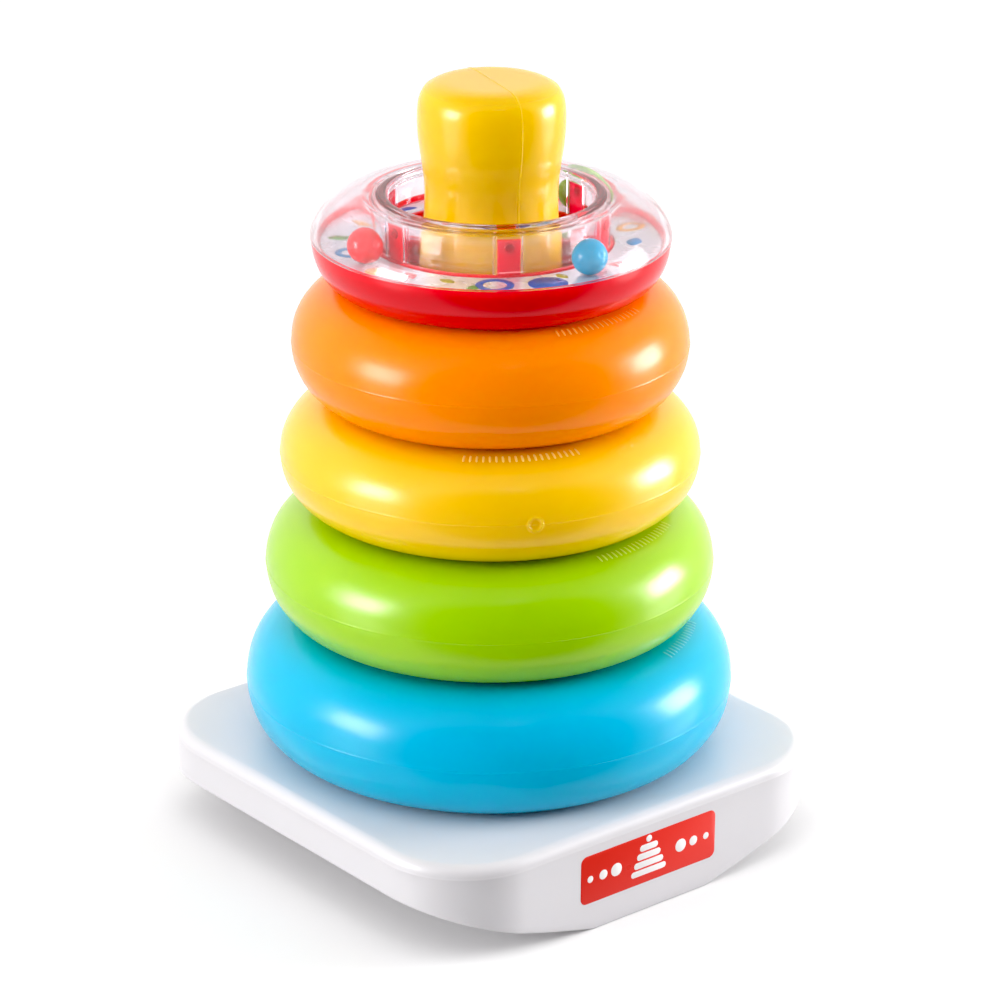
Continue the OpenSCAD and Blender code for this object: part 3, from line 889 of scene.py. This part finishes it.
def make_label():
    """Red film with a generic pictogram: a little tower of pills and a ball, and dots."""
    low, high = box_mm("label")
    middle_x, middle_z = (low[0] + high[0]) / 2, (low[2] + high[2]) / 2
    half_w, half_h = (high[0] - low[0]) / 2, (high[2] - low[2]) / 2

    def on_wall(name, outline, x, z, front, back, material, node=None):
        """Thin slab on the wall with an eased rim. front and back are its depths."""
        rim = outline * (1 - 0.05 / np.abs(outline).max(axis=0))
        layers = [(outline, back), (outline, front + 0.02), (rim, front)]
        points = [[x + p[0], low[1] + depth, z + p[1]] for shape, depth in layers for p in shape]
        faces = capped_faces(len(layers), len(outline))
        piece = build(name, points, faces, material, crease=40)
        return stand_for(piece, "base", node)

    def in_ink(name, half_width, half_height, x, z):
        pill = rounded_box(half_width, half_height, half_height * ROUND)
        on_wall(name, pill, x, z, 0.0, INK_BACK, LABEL_WHITE)

    on_wall("label_film", rounded_box(half_w, half_h, LABEL_CORNER), middle_x, middle_z,
            LABEL_FACE, LABEL_BACK, LABEL_RED, "label")
    z = middle_z - half_h + TOWER_FOOT
    for number, (half_width, half_height) in enumerate(TOWER, 1):
        in_ink(f"label_bar_{number}", half_width, half_height, middle_x, z + half_height)
        z += 2 * half_height + TOWER_GAP
    in_ink("label_ball", BALL, BALL, middle_x, z + 0.9 * BALL)
    for side, letter in ((-1, "l"), (1, "r")):
        for number, dot in enumerate(DOTS, 1):
            x = middle_x + side * (DOT_START + DOT_PITCH * (number - 1))
            in_ink(f"label_dot_{letter}{number}", dot, dot, x, middle_z)


make_label()


# Carried-over CAD nodes
for node, material in (("base_bottom", WHITE), ("base_screws", STEEL)):
    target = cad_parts[node]
    target.data.materials.clear()
    target.data.materials.append(material)


# ---------------------------------------------------------------- stage

BLACK_POINT = 0.014
FLOOR_TONES = ((0.93, 0.93, 0.93, 1.0), (0.95, 0.95, 0.95, 1.0))
FLOOR_BOUNCE = (0.6, 0.6, 0.6, 1.0)                  # what the floor throws up at the toy
FLOOR_HALF = 9000.0
FAR_START, FAR_END, FAR_GLOW = 0.55, 1.6, 0.5        # metres from the toy, strength
DIM_AZIMUTH = 16                   # centre of the dim part of the studio
DIM_LIGHT, WALL_LIGHT, ROOF_LIGHT = 0.02, 1.2, 0.45
THROUGH_LIGHT = 0.95
TABLE_GLINTS = [(-66, -13, 2.6), (99, -11, 3.4)]     # azimuth, elevation, radiance
# Edges of parts of the studio, as cosines of the angle from their middle
DIM_EDGE, ROOF_EDGE, GLINT_EDGE = (0.4, 0.66), (0.62, 0.9), (0.95, 0.992)

# Camera: 36 mm sensor, a long lens from the left-hand front corner
CAMERA_AZIMUTH = -39.51
CAMERA_DISTANCE = 1.0205           # level distance from the toy's axis
CAMERA_HEIGHT = 0.5042
CAMERA_LENS = 144.6
CAMERA_TILT, CAMERA_PAN, CAMERA_ROLL = 21.75, 0.155, 0.319


def smooth_step(nodes, links, source, start, stop):
    """Smooth change from start's value to stop's, each given as (input, value)."""
    ramp = nodes.new("ShaderNodeMapRange")
    ramp.interpolation_type = "SMOOTHSTEP"
    ramp.inputs["From Min"].default_value, ramp.inputs["To Min"].default_value = start
    ramp.inputs["From Max"].default_value, ramp.inputs["To Max"].default_value = stop
    links.new(source, ramp.inputs["Value"])
    return ramp.outputs["Result"]


def make_floor():
    """White table that stays as pale far out, where the lamps no longer reach, and that
    throws less light up at the toy than it shows."""
    material, nodes, links, shader = new_material("floor_white")
    grain = object_noise(nodes, links, 3.0)
    tone = blend(nodes, links, "RGBA", grain.outputs["Fac"], *FLOOR_TONES)
    path = nodes.new("ShaderNodeLightPath")
    tone = blend(nodes, links, "RGBA", path.outputs["Is Diffuse Ray"], tone, FLOOR_BOUNCE)
    links.new(tone, shader.inputs["Base Color"])
    shader.inputs["Roughness"].default_value = 0.9
    shader.inputs["Specular IOR Level"].default_value = 0.0
    place = nodes.new("ShaderNodeTexCoord")
    distance = nodes.new("ShaderNodeVectorMath")
    distance.operation = "LENGTH"
    links.new(place.outputs["Object"], distance.inputs[0])
    shader.inputs["Emission Color"].default_value = (1.0, 0.99, 0.995, 1.0)
    far = smooth_step(nodes, links, distance.outputs["Value"], (FAR_START, 0.0),
                      (FAR_END, FAR_GLOW))
    links.new(far, shader.inputs["Emission Strength"])
    corners = [[sx * FLOOR_HALF, sy * FLOOR_HALF, 0] for sx, sy in QUARTERS]
    floor = build("floor", corners, [[0, 1, 2, 3]], material)
    floor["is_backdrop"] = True
    return floor


def soft_light(name, azimuth, elevation, width, height, radiance, matte=True, gloss=True,
               distance=1.3):
    """Rectangular soft box. Azimuth 0 is on the camera's side, growing to its right.
    matte and gloss say which kinds of shading it takes part in."""
    lamp = bpy.data.lights.new(name, "AREA")
    lamp.shape = "RECTANGLE"
    lamp.size, lamp.size_y = width, height
    lamp.energy = radiance * math.pi * width * height
    light = bpy.data.objects.new(name, lamp)
    bpy.context.collection.objects.link(light)
    back = unit_towards(azimuth, elevation)
    light.location = Vector((0, 0, 0.1)) + back * distance
    light.rotation_euler = (-back).to_track_quat("-Z", "Y").to_euler()
    light.visible_diffuse = matte
    light.visible_glossy = gloss
    light.visible_transmission = gloss


def unit_towards(azimuth, elevation):
    """Unit vector towards an azimuth counted from the camera's side, and an elevation."""
    turn, rise = math.radians(CAMERA_AZIMUTH + azimuth), math.radians(elevation)
    return Vector((math.sin(turn) * math.cos(rise), -math.cos(turn) * math.cos(rise),
                   math.sin(rise)))


def make_camera():
    """Camera at the photograph's angle."""
    turn = math.radians(CAMERA_AZIMUTH)
    lens = bpy.data.cameras.new("camera")
    lens.sensor_width = 36.0
    lens.lens = CAMERA_LENS
    lens.clip_start, lens.clip_end = 0.05, 50.0
    camera = bpy.data.objects.new("camera", lens)
    bpy.context.collection.objects.link(camera)
    place = Vector((math.sin(turn), -math.cos(turn), 0)) * CAMERA_DISTANCE
    heading = (Matrix.Rotation(turn - math.radians(CAMERA_PAN), 4, "Z")
               @ Matrix.Rotation(math.radians(90 - CAMERA_TILT), 4, "X")
               @ Matrix.Rotation(math.radians(CAMERA_ROLL), 4, "Z"))
    camera.matrix_world = Matrix.Translation(place + Vector((0, 0, CAMERA_HEIGHT))) @ heading
    bpy.context.scene.camera = camera


def make_world():
    """Studio: bright walls at the sides and behind, a dim room on the camera's side, and
    the two soft boxes mirrored in the table. Through clear plastic it is bright all round."""
    world = bpy.data.worlds.new("studio")
    world.use_nodes = True
    nodes, links = world.node_tree.nodes, world.node_tree.links
    place = nodes.new("ShaderNodeTexCoord")

    def towards(azimuth, elevation):
        facing = nodes.new("ShaderNodeVectorMath")
        facing.operation = "DOT_PRODUCT"
        facing.inputs[1].default_value = unit_towards(azimuth, elevation)
        links.new(place.outputs["Generated"], facing.inputs[0])
        return facing.outputs["Value"]

    def part(azimuth, elevation, edge, outside, inside):
        return smooth_step(nodes, links, towards(azimuth, elevation), (edge[0], outside),
                           (edge[1], inside))

    wall = part(DIM_AZIMUTH, 0, DIM_EDGE, WALL_LIGHT, DIM_LIGHT)
    roof = part(0, 90, ROOF_EDGE, 0.0, 1.0)
    total = blend(nodes, links, "FLOAT", roof, wall, ROOF_LIGHT)
    for azimuth, elevation, radiance in TABLE_GLINTS:
        glint = part(azimuth, elevation, GLINT_EDGE, 0.0, radiance)
        add = nodes.new("ShaderNodeMath")
        add.operation = "ADD"
        links.new(total, add.inputs[0])
        links.new(glint, add.inputs[1])
        total = add.outputs[0]
    path = nodes.new("ShaderNodeLightPath")
    total = blend(nodes, links, "FLOAT", path.outputs["Is Transmission Ray"], total,
                  THROUGH_LIGHT)
    back = nodes["Background"]
    back.inputs["Color"].default_value = (1.0, 0.985, 0.99, 1.0)
    links.new(total, back.inputs["Strength"])
    bpy.context.scene.world = world


floor = make_floor()
floor.visible_glossy = False
make_camera()
make_world()
soft_light("soft_box_left", -64, 14, 0.5, 0.45, 11.0)
soft_light("soft_box_left_core", -64, 14, 0.5, 0.42, 7.6, matte=False)
soft_light("soft_box_left_halo", -68, 16, 0.8, 0.8, 2.2, matte=False)
soft_light("soft_box_right", 99, 10, 0.5, 0.45, 20.5)
soft_light("soft_box_right_halo", 97, 12, 0.8, 0.8, 2.2, matte=False)
soft_light("strip_front", 15, 50, 0.3, 0.06, 3.5)
soft_light("roof_fill", -4, 64, 2.0, 2.0, 1.6, gloss=False, distance=2.2)

# Light caught inside the clear lip needs many bounces to find its way out
cycles = bpy.context.scene.cycles
cycles.max_bounces = 32
cycles.glossy_bounces = 24
cycles.transmission_bounces = 32

# Picture contrast: a plain transform with a slightly raised black point
view = bpy.context.scene.view_settings
view.view_transform = "Standard"
view.use_curve_mapping = True
view.curve_mapping.black_level = (BLACK_POINT,) * 3
view.curve_mapping.update()

size = {"cad": [list(corner) for corner in cad_bounds],
        "visual": [list(corner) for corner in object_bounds()]}
